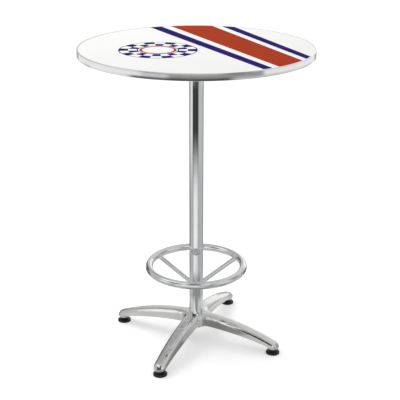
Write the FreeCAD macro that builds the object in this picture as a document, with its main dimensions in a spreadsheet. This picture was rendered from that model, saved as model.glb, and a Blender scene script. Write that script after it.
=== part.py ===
import FreeCAD, Part
import math
import os
import Sketcher

# Pub table: a round printed top in a metal edge band on a chromed column, with a foot ring on
# three spokes and a polished four-arm casting that stands on screw-in levellers.
# Frame: origin on the floor below the column, +Z up, the four arms along X and Y. Millimetres.

SIZES = {
    # overall
    "table_height": 1041.0,
    "top_diameter": 762.0,
    # clearances and the overrun of cuts
    "fit_gap": 0.15,
    "running_gap": 0.05,
    "rest_gap": 0.3,
    "cut_overrun": 5.0,
    # top and its edge band
    "band_height": 22.0,
    "band_wall": 1.5,
    "band_lip": 3.0,
    "band_proud": 0.8,
    "band_corner": 0.6,
    "sheet_thickness": 0.9,
    # bracket under the top
    "bracket_reach": 140.0,
    "bracket_nose_radius": 15.0,
    "bracket_hub_half_width": 24.0,
    "bracket_plate": 5.0,
    "bracket_hub_wall": 8.0,
    "bracket_crown": 12.0,
    "bracket_socket_depth": 32.0,
    "bracket_rib_thickness": 6.0,
    "bracket_rib_end": 26.0,
    "bracket_fillet": 18.0,
    "screw_diameter": 5.0,
    "screw_head_diameter": 10.0,
    "screw_head_height": 3.2,
    "screw_bite": 13.0,
    # column and tie rod
    "column_diameter": 48.0,
    "column_wall": 2.0,
    "rod_diameter": 12.0,
    "rod_tail": 5.0,
    "washer_diameter": 30.0,
    "washer_thickness": 3.0,
    "spring_washer_diameter": 21.0,
    "spring_washer_thickness": 3.0,
    "spring_washer_slit": 1.6,
    "nut_across_flats": 19.0,
    "nut_height": 10.0,
    # foot ring
    "ring_height": 276.0,
    "ring_radius": 163.0,
    "ring_tube": 25.4,
    "ring_wall": 1.5,
    "spoke_diameter": 16.0,
    "spoke_drop": 68.0,
    "spoke_turn_degrees": 51.1,
    # base casting
    "arm_reach": 290.0,
    "nose_radius": 21.0,
    "hub_half_width": 27.0,
    "arm_fillet": 28.0,
    "arm_rise": 55.0,
    "arm_hub_thickness": 35.5,
    "arm_end_thickness": 19.0,
    "bevel_width": 8.5,
    "bevel_height": 9.0,
    "crown_rounding": 20.0,
    "crease_rounding": 0.9,
    "casting_wall": 6.0,
    "casting_skin": 8.0,
    "rib_thickness": 5.0,
    "boss_height": 33.0,
    "boss_radius": 15.5,
    "boss_draft_degrees": 20.0,
    "hub_wall": 24.0,
    "hub_draft_degrees": 15.0,
    "socket_depth": 18.0,
    "socket_floor": 8.0,
    "nut_recess_radius": 30.0,
    "nut_recess_depth": 15.0,
    # levellers
    "pad_diameter": 47.0,
    "pad_height": 8.5,
    "pad_rim_height": 5.0,
    "pad_top_radius": 12.0,
    "pad_edge_rounding": 1.2,
    "stem_diameter": 8.0,
    "stem_cap": 6.5,
    "collar_across_flats": 14.0,
    "collar_height": 3.0,
    "button_diameter": 14.0,
    "button_height": 2.5,
    "button_neck_diameter": 9.0,
    "button_neck_height": 3.5,
}

# Where along an edge it is sampled, and how far below the dome the crease may lie and how
# level it is, as shares of the bevel's height.
SAMPLE_SHARES = (0.1, 0.5, 0.9)
CREASE_DEPTH_SHARES = (0.6, 1.4)
CREASE_LEVEL_SHARE = 0.35
SAME_PLACE = 1e-3

FOUR_SIDES = ("right", "back", "left", "front")
SPOKES = 3

doc = FreeCAD.newDocument("PubTable")
sheet = doc.addObject("Spreadsheet::Sheet", "Sizes")
for row, (name, number) in enumerate(SIZES.items(), start=1):
    sheet.set(f"A{row}", name)
    sheet.set(f"B{row}", str(number))
    sheet.setAlias(f"B{row}", name)
doc.recompute()

# Heights and radii that several pieces share, written once in terms of the sheet.
TOP_UNDER = "(Sizes.table_height - Sizes.band_height)"
SHEET_TOP = "(Sizes.table_height - Sizes.band_proud)"
CORE_TOP = f"({SHEET_TOP} - Sizes.sheet_thickness)"
BALANCE_UNDER = f"({TOP_UNDER} + Sizes.band_proud)"
CORE_UNDER = f"({BALANCE_UNDER} + Sizes.sheet_thickness)"
BAND_RADIUS = "(Sizes.top_diameter / 2)"
BAND_INSIDE = f"({BAND_RADIUS} - Sizes.band_wall)"
LIP_RADIUS = f"({BAND_INSIDE} - Sizes.band_lip)"
CORE_RADIUS = f"({BAND_INSIDE} - Sizes.fit_gap)"
SHEET_RADIUS = f"({LIP_RADIUS} - Sizes.fit_gap)"
PILOT_RADIUS = "(Sizes.screw_diameter / 2 + Sizes.running_gap)"
COLUMN_RADIUS = "(Sizes.column_diameter / 2)"
SOCKET_RADIUS = f"({COLUMN_RADIUS} + Sizes.fit_gap)"
ROD_HOLE_RADIUS = "(Sizes.rod_diameter / 2 + Sizes.fit_gap)"
COLLAR_UNDER = "(Sizes.pad_height + Sizes.running_gap)"
BOSS_UNDER = f"({COLLAR_UNDER} + Sizes.collar_height + Sizes.rest_gap)"
ARM_END = f"({BOSS_UNDER} + Sizes.boss_height)"
HUB_TOP = f"({ARM_END} + Sizes.arm_rise)"
ARCH_END = f"({ARM_END} - Sizes.arm_end_thickness)"
ARCH_TOP = f"({HUB_TOP} - Sizes.arm_hub_thickness)"
COLUMN_FOOT = f"({HUB_TOP} - Sizes.socket_depth)"
RECESS_TOP = f"({COLUMN_FOOT} - Sizes.socket_floor)"
HUB_UNDER = f"({RECESS_TOP} - Sizes.nut_recess_depth)"
HUB_RADIUS = f"({SOCKET_RADIUS} + Sizes.hub_wall)"
HUB_FLARE = f"({HUB_RADIUS} + tan(Sizes.hub_draft_degrees * 1 deg) * ({HUB_TOP} - {HUB_UNDER}))"
BRACKET_TOP = BALANCE_UNDER
BRACKET_PLATE_UNDER = f"({BRACKET_TOP} - Sizes.bracket_plate)"
COLUMN_HEAD = f"({BRACKET_TOP} - Sizes.bracket_crown)"
BRACKET_UNDER = f"({COLUMN_HEAD} - Sizes.bracket_socket_depth)"
BRACKET_HUB_RADIUS = f"({SOCKET_RADIUS} + Sizes.bracket_hub_wall)"
STEM_TOP = f"({ARM_END} - Sizes.stem_cap)"
STEM_HOLE_RADIUS = "(Sizes.stem_diameter / 2 + Sizes.running_gap)"
BUTTON_TOP = "(Sizes.pad_height - Sizes.button_neck_height)"
BUTTON_UNDER = f"({BUTTON_TOP} - Sizes.button_height)"
WASHER_UNDER = f"({RECESS_TOP} - Sizes.washer_thickness)"
SPRING_UNDER = f"({WASHER_UNDER} - Sizes.spring_washer_thickness)"
NUT_UNDER = f"({SPRING_UNDER} - Sizes.nut_height)"


# The radius of a spherical cap that falls by `rise` at the radius `reach`.
def cap_radius(rise, reach):
    return f"((({rise}) * ({rise}) + ({reach}) * ({reach})) / (2 * ({rise})))"


DOME_RADIUS = cap_radius("Sizes.arm_rise", "Sizes.arm_reach")
ARCH_RADIUS = cap_radius(f"{ARCH_TOP} - {ARCH_END}", "Sizes.arm_reach")


def value(expression):
    return float(sheet.evalExpression(str(expression)))


def new_body(label):
    body = doc.addObject("PartDesign::Body", label)
    body.Label = label
    return body


def origin_part(body, role):
    return next(item for item in body.Origin.OriginFeatures if item.Role == role)


def new_sketch(body, name, role="XY_Plane", height=None):
    sketch = body.newObject("Sketcher::SketchObject", name)
    sketch.AttachmentSupport = (origin_part(body, role), [""])
    sketch.MapMode = "FlatFace"
    if height is not None:
        sketch.setExpression("AttachmentOffset.Base.z", height)
    return sketch


# Ties a sketch point to two expressions; a zero puts it on that axis instead.
def tie_point(sketch, geometry, vertex, across, along):
    for kind, expression, axis in (("DistanceX", across, -2), ("DistanceY", along, -1)):
        if expression == "0":
            sketch.addConstraint(Sketcher.Constraint("PointOnObject", geometry, vertex, axis))
        else:
            number = value(expression)
            index = sketch.addConstraint(Sketcher.Constraint(kind, -1, 1, geometry, vertex, number))
            sketch.setExpression(f"Constraints[{index}]", expression)


# A closed outline of straight lines through corners given as pairs of expressions.
def outline(sketch, corners):
    points = [FreeCAD.Vector(value(across), value(along), 0) for across, along in corners]
    first = sketch.GeometryCount
    for index, point in enumerate(points):
        following = points[(index + 1) % len(points)]
        sketch.addGeometry(Part.LineSegment(point, following), False)
    for index, (across, along) in enumerate(corners):
        line = first + index
        previous = first + (index - 1) % len(corners)
        sketch.addConstraint(Sketcher.Constraint("Coincident", previous, 2, line, 1))
        tie_point(sketch, line, 1, across, along)


def circle(sketch, radius, across="0", along="0"):
    centre = FreeCAD.Vector(value(across), value(along), 0)
    index = sketch.addGeometry(Part.Circle(centre, FreeCAD.Vector(0, 0, 1), value(radius)), False)
    tie_point(sketch, index, 3, across, along)
    constraint = sketch.addConstraint(Sketcher.Constraint("Radius", index, value(radius)))
    sketch.setExpression(f"Constraints[{constraint}]", radius)


# A hexagon about the origin, from its size across the flats.
def hexagon(sketch, across_flats):
    corner = f"(({across_flats}) / (2 * cos(30 deg)))"
    corners = []
    for step in range(6):
        rise = "0" if step % 3 == 0 else f"{corner} * sin({step} * 60 deg)"
        corners.append((f"{corner} * cos({step} * 60 deg)", rise))
    outline(sketch, corners)


def pad(body, sketch, length, name):
    feature = body.newObject("PartDesign::Pad", name)
    feature.Profile = sketch
    feature.setExpression("Length", length)
    return feature


# Removes material upwards from the sketch.
def pocket(body, sketch, depth, name):
    feature = body.newObject("PartDesign::Pocket", name)
    feature.Profile = sketch
    feature.Reversed = True
    feature.setExpression("Length", depth)
    return feature


def round_hole(body, name, radius, floor, depth, across="0"):
    sketch = new_sketch(body, f"{name}_circle", height=floor)
    circle(sketch, radius, across)
    return pocket(body, sketch, depth, name)


def revolution(body, sketch, name, axis="V_Axis"):
    feature = body.newObject("PartDesign::Revolution", name)
    feature.Profile = sketch
    feature.ReferenceAxis = (sketch, [axis])
    feature.Angle = 360
    return feature


def four_times(body, features, name):
    pattern = body.newObject("PartDesign::PolarPattern", name)
    pattern.Originals = features
    pattern.Axis = (origin_part(body, "Z_Axis"), [""])
    pattern.Angle = 360
    pattern.Occurrences = len(FOUR_SIDES)
    body.Tip = pattern
    return pattern


# Revolves an outline about Z, or about an upright line at `centre` from Z.
def turned(body, name, corners, centre="0"):
    sketch = new_sketch(body, f"{name}_outline", "XZ_Plane")
    outline(sketch, [(across if centre == "0" else f"{centre} + {across}", along)
                     for across, along in corners])
    if centre == "0":
        return revolution(body, sketch, f"{name}_turned")
    x = value(centre)
    start = FreeCAD.Vector(x, value(corners[0][1]), 0)
    end = FreeCAD.Vector(x, value(corners[-1][1]), 0)
    line = sketch.addGeometry(Part.LineSegment(start, end), True)
    tie_point(sketch, line, 1, centre, corners[0][1])
    tie_point(sketch, line, 2, centre, corners[-1][1])
    return revolution(body, sketch, f"{name}_turned", "Axis0")


def ring_corners(inner, outer, under, top):
    return [(inner, under), (outer, under), (outer, top), (inner, top)]


def edge_names(shape, wanted):
    return [f"Edge{index}" for index, edge in enumerate(shape.Edges, start=1) if wanted(edge)]


def points_along(edge):
    span = edge.LastParameter - edge.FirstParameter
    return [edge.valueAt(edge.FirstParameter + span * share) for share in SAMPLE_SHARES]


def round_edges(body, wanted, radius, name):
    doc.recompute()
    base = body.Tip
    feature = body.newObject("PartDesign::Fillet", name)
    feature.Base = (base, edge_names(base.Shape, wanted))
    feature.setExpression("Radius", radius)
    return feature


# True for an edge that runs round Z at this radius and height.
def is_round(edge, radius, height):
    return all(abs(math.hypot(point.x, point.y) - radius) < SAME_PLACE
               and abs(point.z - height) < SAME_PLACE for point in points_along(edge))


# The plan of four tapered arms with round noses, and concave corners between them.
def cross_plan(body, name, reach, nose, hub_half, fillet, floor, height):
    sketch = new_sketch(body, f"{name}_arm", height=floor)
    far = value(reach)
    round_end = value(nose)
    half = value(hub_half)
    lean = math.asin(round_end / math.hypot(far, half)) - math.atan2(half, far)
    touch = FreeCAD.Vector(far - round_end * math.sin(lean), round_end * math.cos(lean), 0)
    below = FreeCAD.Vector(touch.x, -touch.y, 0)
    tip = FreeCAD.Vector(far + round_end, 0, 0)
    corner = FreeCAD.Vector(0, half, 0)
    sketch.addGeometry(Part.Arc(below, tip, touch), False)
    sketch.addGeometry(Part.LineSegment(touch, corner), False)
    sketch.addGeometry(Part.LineSegment(corner, -corner), False)
    sketch.addGeometry(Part.LineSegment(-corner, below), False)
    sketch.addConstraint(Sketcher.Constraint("Tangent", 0, 2, 1, 1))
    sketch.addConstraint(Sketcher.Constraint("Coincident", 1, 2, 2, 1))
    sketch.addConstraint(Sketcher.Constraint("Coincident", 2, 2, 3, 1))
    sketch.addConstraint(Sketcher.Constraint("Tangent", 3, 2, 0, 1))
    tie_point(sketch, 0, 3, reach, "0")
    tie_point(sketch, 1, 2, "0", hub_half)
    tie_point(sketch, 3, 1, "0", f"-({hub_half})")
    radius = sketch.addConstraint(Sketcher.Constraint("Radius", 0, round_end))
    sketch.setExpression(f"Constraints[{radius}]", nose)
    arm = pad(body, sketch, height, f"{name}_arm_pad")
    four_times(body, [arm], f"{name}_cross")

    def concave_corner(edge):
        start, *_, end = points_along(edge)
        upright = math.hypot(start.x - end.x, start.y - end.y) < SAME_PLACE
        return upright and math.hypot(start.x, start.y) < far / 2

    round_edges(body, concave_corner, fillet, f"{name}_corners")


# A ball with its poles and seam turned away from the arms.
def cap_ball(name, radius, top):
    ball = doc.addObject("Part::Sphere", name)
    ball.setExpression("Radius", radius)
    ball.Placement.Rotation = FreeCAD.Rotation(FreeCAD.Vector(0, 1, 0), 90)
    ball.setExpression("Placement.Base.z", f"{top} - {radius}")
    return ball


def boolean(kind, name, base, tool):
    result = doc.addObject(f"Part::{kind}", name)
    result.Base = base
    result.Tool = tool
    result.Refine = True
    return result


# What stays below the arch under the arms: the hub's cone and the four leveller bosses.
def lower_forms():
    body = new_body("lower_forms")
    turned(body, "hub_cone", [("0", HUB_UNDER), (HUB_RADIUS, HUB_UNDER), (HUB_FLARE, HUB_TOP),
                              ("0", HUB_TOP)])
    flare = "(Sizes.boss_radius + tan(Sizes.boss_draft_degrees * 1 deg) * Sizes.boss_height)"
    boss = turned(body, "boss_cone", [("0", BOSS_UNDER), ("Sizes.boss_radius", BOSS_UNDER),
                                      (flare, ARM_END), ("0", ARM_END)], "Sizes.arm_reach")
    four_times(body, [boss], "boss_cones")
    return body


# The two cells under one arm, one each side of its rib, repeated for the other arms.
def hollow_plan():
    body = new_body("hollow_plan")
    inner = f"({HUB_FLARE} + Sizes.casting_wall)"
    outer = "(Sizes.arm_reach - Sizes.nose_radius - Sizes.casting_wall)"
    side = "(Sizes.rib_thickness / 2)"
    taper = "((Sizes.hub_half_width - Sizes.nose_radius) / Sizes.arm_reach)"
    near = f"(Sizes.hub_half_width - {taper} * {inner} - Sizes.casting_wall)"
    far = f"(Sizes.hub_half_width - {taper} * {outer} - Sizes.casting_wall)"
    sketch = new_sketch(body, "hollow_cells")
    for sign in ("", "-"):
        outline(sketch, [(inner, f"{sign}{side}"), (outer, f"{sign}{side}"),
                         (outer, f"{sign}{far}"), (inner, f"{sign}{near}")])
    cells = pad(body, sketch, HUB_TOP, "hollow_pad")
    four_times(body, [cells], "hollow_cross")
    return body


# The polished casting: arms and hub cut from one cross by a dome above and an arch below,
# with a round crown down to a crease, hollow under each arm, with sockets for column and levellers.
def base_casting():
    plan = new_body("base_plan")
    cross_plan(plan, "base", "Sizes.arm_reach", "Sizes.nose_radius", "Sizes.hub_half_width",
               "Sizes.arm_fillet", "0", f"{HUB_TOP} + Sizes.cut_overrun")
    dome = cap_ball("dome", DOME_RADIUS, HUB_TOP)
    arch = cap_ball("arch", ARCH_RADIUS, ARCH_TOP)
    ceiling = cap_ball("ceiling", f"({DOME_RADIUS} - Sizes.casting_skin)",
                       f"({HUB_TOP} - Sizes.casting_skin)")
    domed = boolean("Common", "domed_cross", plan, dome)
    under_arms = boolean("Cut", "under_arms", arch, lower_forms())
    arched = boolean("Cut", "arched_cross", domed, under_arms)
    hollow = boolean("Common", "arm_hollow", hollow_plan(), ceiling)
    doc.recompute()

    body = new_body("base_outer")
    body.BaseFeature = arched
    doc.recompute()
    radius = value(DOME_RADIUS)
    centre = FreeCAD.Vector(0, 0, value(HUB_TOP) - radius)
    drop = value("Sizes.bevel_height")

    def depths(edge):
        return [radius - (point - centre).Length for point in points_along(edge)]

    def rim_edge(edge):
        return max(abs(depth) for depth in depths(edge)) < SAME_PLACE

    def crease_edge(edge):
        below = depths(edge)
        shallow, deep = (share * drop for share in CREASE_DEPTH_SHARES)
        level = max(below) - min(below) < CREASE_LEVEL_SHARE * drop
        return level and shallow < min(below) and max(below) < deep

    bevel = body.newObject("PartDesign::Chamfer", "arm_bevel")
    bevel.Base = (body.Group[0], edge_names(body.Group[0].Shape, rim_edge))
    bevel.ChamferType = "Two distances"
    bevel.setExpression("Size", "Sizes.bevel_height")
    bevel.setExpression("Size2", "Sizes.bevel_width")
    round_edges(body, rim_edge, "Sizes.crown_rounding", "arm_crown")
    round_edges(body, crease_edge, "Sizes.crease_rounding", "arm_crease")
    shell = boolean("Cut", "base_shell", body, hollow)
    doc.recompute()

    casting = new_body("base_casting")
    casting.BaseFeature = shell
    round_hole(casting, "nut_recess", "Sizes.nut_recess_radius", f"{HUB_UNDER} - Sizes.cut_overrun",
               "Sizes.nut_recess_depth + Sizes.cut_overrun")
    round_hole(casting, "rod_hole", ROD_HOLE_RADIUS, RECESS_TOP, "Sizes.socket_floor")
    round_hole(casting, "column_socket", SOCKET_RADIUS, COLUMN_FOOT,
               "Sizes.socket_depth + Sizes.cut_overrun")
    hole = round_hole(casting, "leveller_hole", STEM_HOLE_RADIUS, f"{BOSS_UNDER} - Sizes.cut_overrun",
                      f"{STEM_TOP} - {BOSS_UNDER} + Sizes.rest_gap + Sizes.cut_overrun",
                      "Sizes.arm_reach")
    four_times(casting, [hole], "leveller_holes")
    return casting


# The board of the top, with pilot holes for the bracket's screws.
def top_core():
    body = new_body("top_core")
    turned(body, "core", ring_corners("0", CORE_RADIUS, CORE_UNDER, CORE_TOP))
    hole = round_hole(body, "core_pilot", PILOT_RADIUS, f"{CORE_UNDER} - Sizes.cut_overrun",
                      "Sizes.cut_overrun + Sizes.screw_bite + Sizes.rest_gap", "Sizes.bracket_reach")
    four_times(body, [hole], "core_pilots")
    return body


def top_print_sheet():
    body = new_body("top_print_sheet")
    turned(body, "print", ring_corners("0", SHEET_RADIUS, CORE_TOP, SHEET_TOP))
    return body


def balance_sheet():
    body = new_body("balance_sheet")
    turned(body, "balance", ring_corners("0", SHEET_RADIUS, BALANCE_UNDER, CORE_UNDER))
    hole = round_hole(body, "balance_pilot", PILOT_RADIUS, f"{BALANCE_UNDER} - Sizes.cut_overrun",
                      "Sizes.sheet_thickness + 2 * Sizes.cut_overrun", "Sizes.bracket_reach")
    four_times(body, [hole], "balance_pilots")
    return body


# The band is a channel: its two lips grip the board and stand a little proud of the sheets.
def edge_band():
    body = new_body("edge_band")
    turned(body, "band", [(LIP_RADIUS, TOP_UNDER), (BAND_RADIUS, TOP_UNDER),
                          (BAND_RADIUS, "Sizes.table_height"), (LIP_RADIUS, "Sizes.table_height"),
                          (LIP_RADIUS, CORE_TOP), (BAND_INSIDE, CORE_TOP),
                          (BAND_INSIDE, CORE_UNDER), (LIP_RADIUS, CORE_UNDER)])
    radius = value(BAND_RADIUS)
    heights = (value(TOP_UNDER), value("Sizes.table_height"))
    round_edges(body, lambda edge: any(is_round(edge, radius, height) for height in heights),
                "Sizes.band_corner", "band_corners")
    return body


# The four-arm bracket that the top is screwed to; the column stands up into its hub.
def top_bracket():
    body = new_body("top_bracket")
    cross_plan(body, "bracket", "Sizes.bracket_reach", "Sizes.bracket_nose_radius",
               "Sizes.bracket_hub_half_width", "Sizes.bracket_fillet", BRACKET_PLATE_UNDER,
               "Sizes.bracket_plate")
    hub = new_sketch(body, "bracket_hub_circle", height=BRACKET_UNDER)
    circle(hub, BRACKET_HUB_RADIUS)
    pad(body, hub, f"{BRACKET_TOP} - {BRACKET_UNDER}", "bracket_hub")
    web = new_sketch(body, "bracket_rib_outline", "XZ_Plane")
    outline(web, [(COLUMN_RADIUS, f"{BRACKET_UNDER} + Sizes.bracket_plate"),
                  (BRACKET_HUB_RADIUS, f"{BRACKET_UNDER} + Sizes.bracket_plate"),
                  ("Sizes.bracket_reach - Sizes.bracket_rib_end", BRACKET_PLATE_UNDER),
                  (COLUMN_RADIUS, BRACKET_PLATE_UNDER)])
    rib = pad(body, web, "Sizes.bracket_rib_thickness", "bracket_rib")
    rib.SideType = "Symmetric"
    four_times(body, [rib], "bracket_ribs")
    round_hole(body, "bracket_socket", SOCKET_RADIUS, f"{BRACKET_UNDER} - Sizes.cut_overrun",
               "Sizes.bracket_socket_depth + Sizes.cut_overrun")
    round_hole(body, "bracket_rod_hole", ROD_HOLE_RADIUS, COLUMN_HEAD,
               "Sizes.bracket_crown + Sizes.cut_overrun")
    hole = round_hole(body, "bracket_screw_hole", PILOT_RADIUS, f"{BRACKET_PLATE_UNDER} - Sizes.cut_overrun",
                      "Sizes.bracket_plate + 2 * Sizes.cut_overrun", "Sizes.bracket_reach")
    four_times(body, [hole], "bracket_screw_holes")
    return body


def bracket_screws():
    body = new_body("bracket_screws")
    head_under = f"({BRACKET_PLATE_UNDER} - Sizes.screw_head_height)"
    point = f"({CORE_UNDER} + Sizes.screw_bite)"
    shank = "(Sizes.screw_diameter / 2)"
    head = "(Sizes.screw_head_diameter / 2)"
    screw = turned(body, "screw", [("0", head_under), (head, head_under), (head, BRACKET_PLATE_UNDER),
                                   (shank, BRACKET_PLATE_UNDER), (shank, f"{point} - Sizes.screw_diameter"),
                                   ("0", point)], "Sizes.bracket_reach")
    four_times(body, [screw], "screws")
    return body


def column_tube():
    body = new_body("column_tube")
    inside = f"({COLUMN_RADIUS} - Sizes.column_wall)"
    turned(body, "column", ring_corners(inside, COLUMN_RADIUS, COLUMN_FOOT, COLUMN_HEAD))
    return body


def tie_rod():
    body = new_body("tie_rod")
    turned(body, "rod", ring_corners("0", "Sizes.rod_diameter / 2", f"{NUT_UNDER} - Sizes.rod_tail",
                                     f"{BRACKET_TOP} - Sizes.rest_gap"))
    return body


def tie_washer():
    body = new_body("tie_washer")
    outer = "(Sizes.washer_diameter / 2)"
    turned(body, "washer", ring_corners(ROD_HOLE_RADIUS, outer, WASHER_UNDER, RECESS_TOP))
    return body


# A split ring.
def tie_spring_washer():
    body = new_body("tie_spring_washer")
    outer = "(Sizes.spring_washer_diameter / 2)"
    turned(body, "spring", ring_corners(ROD_HOLE_RADIUS, outer, SPRING_UNDER, WASHER_UNDER))
    slit = new_sketch(body, "spring_slit_outline", height=f"{SPRING_UNDER} - Sizes.cut_overrun")
    outline(slit, [("0", "-Sizes.spring_washer_slit / 2"),
                   (f"{outer} + Sizes.cut_overrun", "-Sizes.spring_washer_slit / 2"),
                   (f"{outer} + Sizes.cut_overrun", "Sizes.spring_washer_slit / 2"),
                   ("0", "Sizes.spring_washer_slit / 2")])
    pocket(body, slit, "Sizes.spring_washer_thickness + 2 * Sizes.cut_overrun", "spring_slit")
    return body


def tie_nut():
    body = new_body("tie_nut")
    flats = new_sketch(body, "nut_flats", height=NUT_UNDER)
    hexagon(flats, "Sizes.nut_across_flats")
    pad(body, flats, "Sizes.nut_height", "nut_pad")
    round_hole(body, "nut_hole", ROD_HOLE_RADIUS, f"{NUT_UNDER} - Sizes.cut_overrun",
               "Sizes.nut_height + 2 * Sizes.cut_overrun")
    return body


def foot_ring():
    body = new_body("foot_ring")
    section = new_sketch(body, "ring_section", "XZ_Plane")
    circle(section, "Sizes.ring_tube / 2", "Sizes.ring_radius", "Sizes.ring_height")
    circle(section, "Sizes.ring_tube / 2 - Sizes.ring_wall", "Sizes.ring_radius", "Sizes.ring_height")
    revolution(body, section, "ring_turned")
    return body


# A rod from the column up to the middle of the ring's tube, saddled to both.
def ring_spoke(index):
    body = new_body(f"ring_spoke_{index + 1}")
    run = f"(Sizes.ring_radius - {COLUMN_RADIUS})"
    fall = f"(Sizes.spoke_drop * Sizes.ring_radius / {run})"
    rod = body.newObject("PartDesign::AdditiveCylinder", f"spoke_rod_{index + 1}")
    rod.setExpression("Radius", "Sizes.spoke_diameter / 2")
    rod.setExpression("Height", f"sqrt(Sizes.ring_radius ^ 2 + {fall} ^ 2)")
    rod.Placement.Rotation = FreeCAD.Rotation(FreeCAD.Vector(0, 1, 0), 90)
    rod.setExpression("Placement.Rotation.Angle", f"90 deg - atan({fall} / Sizes.ring_radius)")
    rod.setExpression("Placement.Base.z", f"Sizes.ring_height - {fall}")
    saddle = body.newObject("PartDesign::SubtractiveCylinder", f"column_saddle_{index + 1}")
    saddle.setExpression("Radius", SOCKET_RADIUS)
    saddle.setExpression("Height", "Sizes.table_height")
    cradle = body.newObject("PartDesign::SubtractiveTorus", f"ring_saddle_{index + 1}")
    cradle.setExpression("Radius1", "Sizes.ring_radius")
    cradle.setExpression("Radius2", "Sizes.ring_tube / 2 + Sizes.fit_gap")
    cradle.setExpression("Placement.Base.z", "Sizes.ring_height")
    body.Placement.Rotation = FreeCAD.Rotation(FreeCAD.Vector(0, 0, 1), 90)
    body.setExpression("Placement.Rotation.Angle",
                       f"Sizes.spoke_turn_degrees * 1 deg + {index} * 360 deg / {SPOKES}")
    return body


# Stands a leveller piece below the boss on one of the four sides.
def place_on_side(body, side):
    turn = f"{FOUR_SIDES.index(side)} * 90 deg"
    body.setExpression("Placement.Base.x", f"Sizes.arm_reach * cos({turn})")
    body.setExpression("Placement.Base.y", f"Sizes.arm_reach * sin({turn})")


# The screw stem: a button that turns in the pad, a hexagon collar and the thread above it.
def leveller_stem(side):
    body = new_body(f"leveller_stem_{side}")
    button = "(Sizes.button_diameter / 2)"
    neck = "(Sizes.button_neck_diameter / 2)"
    thread = "(Sizes.stem_diameter / 2)"
    turned(body, f"stem_{side}", [("0", BUTTON_UNDER), (button, BUTTON_UNDER), (button, BUTTON_TOP),
                                  (neck, BUTTON_TOP), (neck, COLLAR_UNDER), (thread, COLLAR_UNDER),
                                  (thread, STEM_TOP), ("0", STEM_TOP)])
    flats = new_sketch(body, f"collar_flats_{side}", height=COLLAR_UNDER)
    hexagon(flats, "Sizes.collar_across_flats")
    pad(body, flats, "Sizes.collar_height", f"collar_{side}")
    place_on_side(body, side)
    return body


# The foot pad, with the closed seat that the stem's button turns in.
def leveller_pad(side):
    body = new_body(f"leveller_pad_{side}")
    rim = "(Sizes.pad_diameter / 2)"
    seat = "(Sizes.button_diameter / 2 + Sizes.running_gap)"
    neck = "(Sizes.button_neck_diameter / 2 + Sizes.running_gap)"
    ceiling = f"({BUTTON_TOP} + Sizes.running_gap)"
    floor = f"({BUTTON_UNDER} - Sizes.running_gap)"
    turned(body, f"pad_{side}", [("0", "0"), (rim, "0"), (rim, "Sizes.pad_rim_height"),
                                 ("Sizes.pad_top_radius", "Sizes.pad_height"), (neck, "Sizes.pad_height"),
                                 (neck, ceiling), (seat, ceiling), (seat, floor), ("0", floor)])
    radius = value(rim)
    height = value("Sizes.pad_rim_height")
    round_edges(body, lambda edge: is_round(edge, radius, height), "Sizes.pad_edge_rounding",
                f"pad_edge_{side}")
    place_on_side(body, side)
    return body


pieces = [
    top_print_sheet(), top_core(), balance_sheet(), edge_band(), top_bracket(), bracket_screws(),
    column_tube(), tie_rod(), tie_washer(), tie_spring_washer(), tie_nut(), foot_ring(), base_casting(),
]
pieces += [ring_spoke(index) for index in range(SPOKES)]
for side in FOUR_SIDES:
    pieces.append(leveller_stem(side))
    pieces.append(leveller_pad(side))
doc.recompute()

# Nothing is written unless every object recomputed and every piece is a sound solid.
for item in doc.Objects:
    if "Invalid" in item.State or "Error" in item.State:
        raise RuntimeError(f"{item.Label} did not recompute: {item.State}")
for piece in pieces:
    if piece.Shape.isNull() or not piece.Shape.isValid() or not piece.Shape.Solids:
        raise RuntimeError(f"{piece.Label} is not a sound solid")

os.makedirs("parts", exist_ok=True)
for piece in pieces:
    piece.Shape.exportStep(f"parts/{piece.Label}.step")
    print(piece.Label, len(piece.Shape.Solids), round(piece.Shape.Volume))
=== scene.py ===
import bpy
import math
from mathutils import Euler, Matrix, Vector


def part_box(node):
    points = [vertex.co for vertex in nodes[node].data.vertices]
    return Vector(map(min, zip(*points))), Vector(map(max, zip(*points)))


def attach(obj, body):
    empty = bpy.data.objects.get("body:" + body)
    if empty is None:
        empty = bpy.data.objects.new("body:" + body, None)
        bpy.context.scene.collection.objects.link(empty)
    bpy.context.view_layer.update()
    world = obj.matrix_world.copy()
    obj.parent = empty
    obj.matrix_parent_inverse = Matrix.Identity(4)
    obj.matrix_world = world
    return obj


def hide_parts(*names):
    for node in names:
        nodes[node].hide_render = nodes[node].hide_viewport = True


# Pub table: printed round top in a metal band, chromed column and foot ring, polished casting.
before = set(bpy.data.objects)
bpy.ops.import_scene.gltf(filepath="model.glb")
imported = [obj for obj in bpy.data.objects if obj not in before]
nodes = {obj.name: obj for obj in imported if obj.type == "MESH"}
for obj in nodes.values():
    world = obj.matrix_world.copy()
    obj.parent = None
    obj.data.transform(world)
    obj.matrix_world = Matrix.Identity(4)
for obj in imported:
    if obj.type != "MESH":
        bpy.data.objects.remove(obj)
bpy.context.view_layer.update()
scene = bpy.context.scene
sides = ("right", "back", "left", "front")  # the four arms, in the record's order
fullTurn = 2 * math.pi
sharpEdge = math.radians(38)  # edges that turn more than this stay crisp
softSpan, wholeSpan = (0.3, 0.7), (0.0, 1.0)  # the stretch of a factor that a ramp is spread over
noiseDetail = dict(plain=1.0, grain=2.0, cloud=3.0, fine=4.0)  # how many finer layers a noise has


# one node, with its settings, and with its inputs set or linked
def addNode(tree, kind, inputs=None, **settings):
    node = tree.nodes.new(kind)
    for name, setting in settings.items():
        setattr(node, name, setting)
    for name, source in (inputs or {}).items():
        if isinstance(source, bpy.types.NodeSocket):
            tree.links.new(source, node.inputs[name])
        else:
            node.inputs[name].default_value = source
    return node


def calc(tree, operation, first, second=0.0, third=0.0):
    return addNode(tree, "ShaderNodeMath", {0: first, 1: second, 2: third}, operation=operation).outputs[0]


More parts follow.
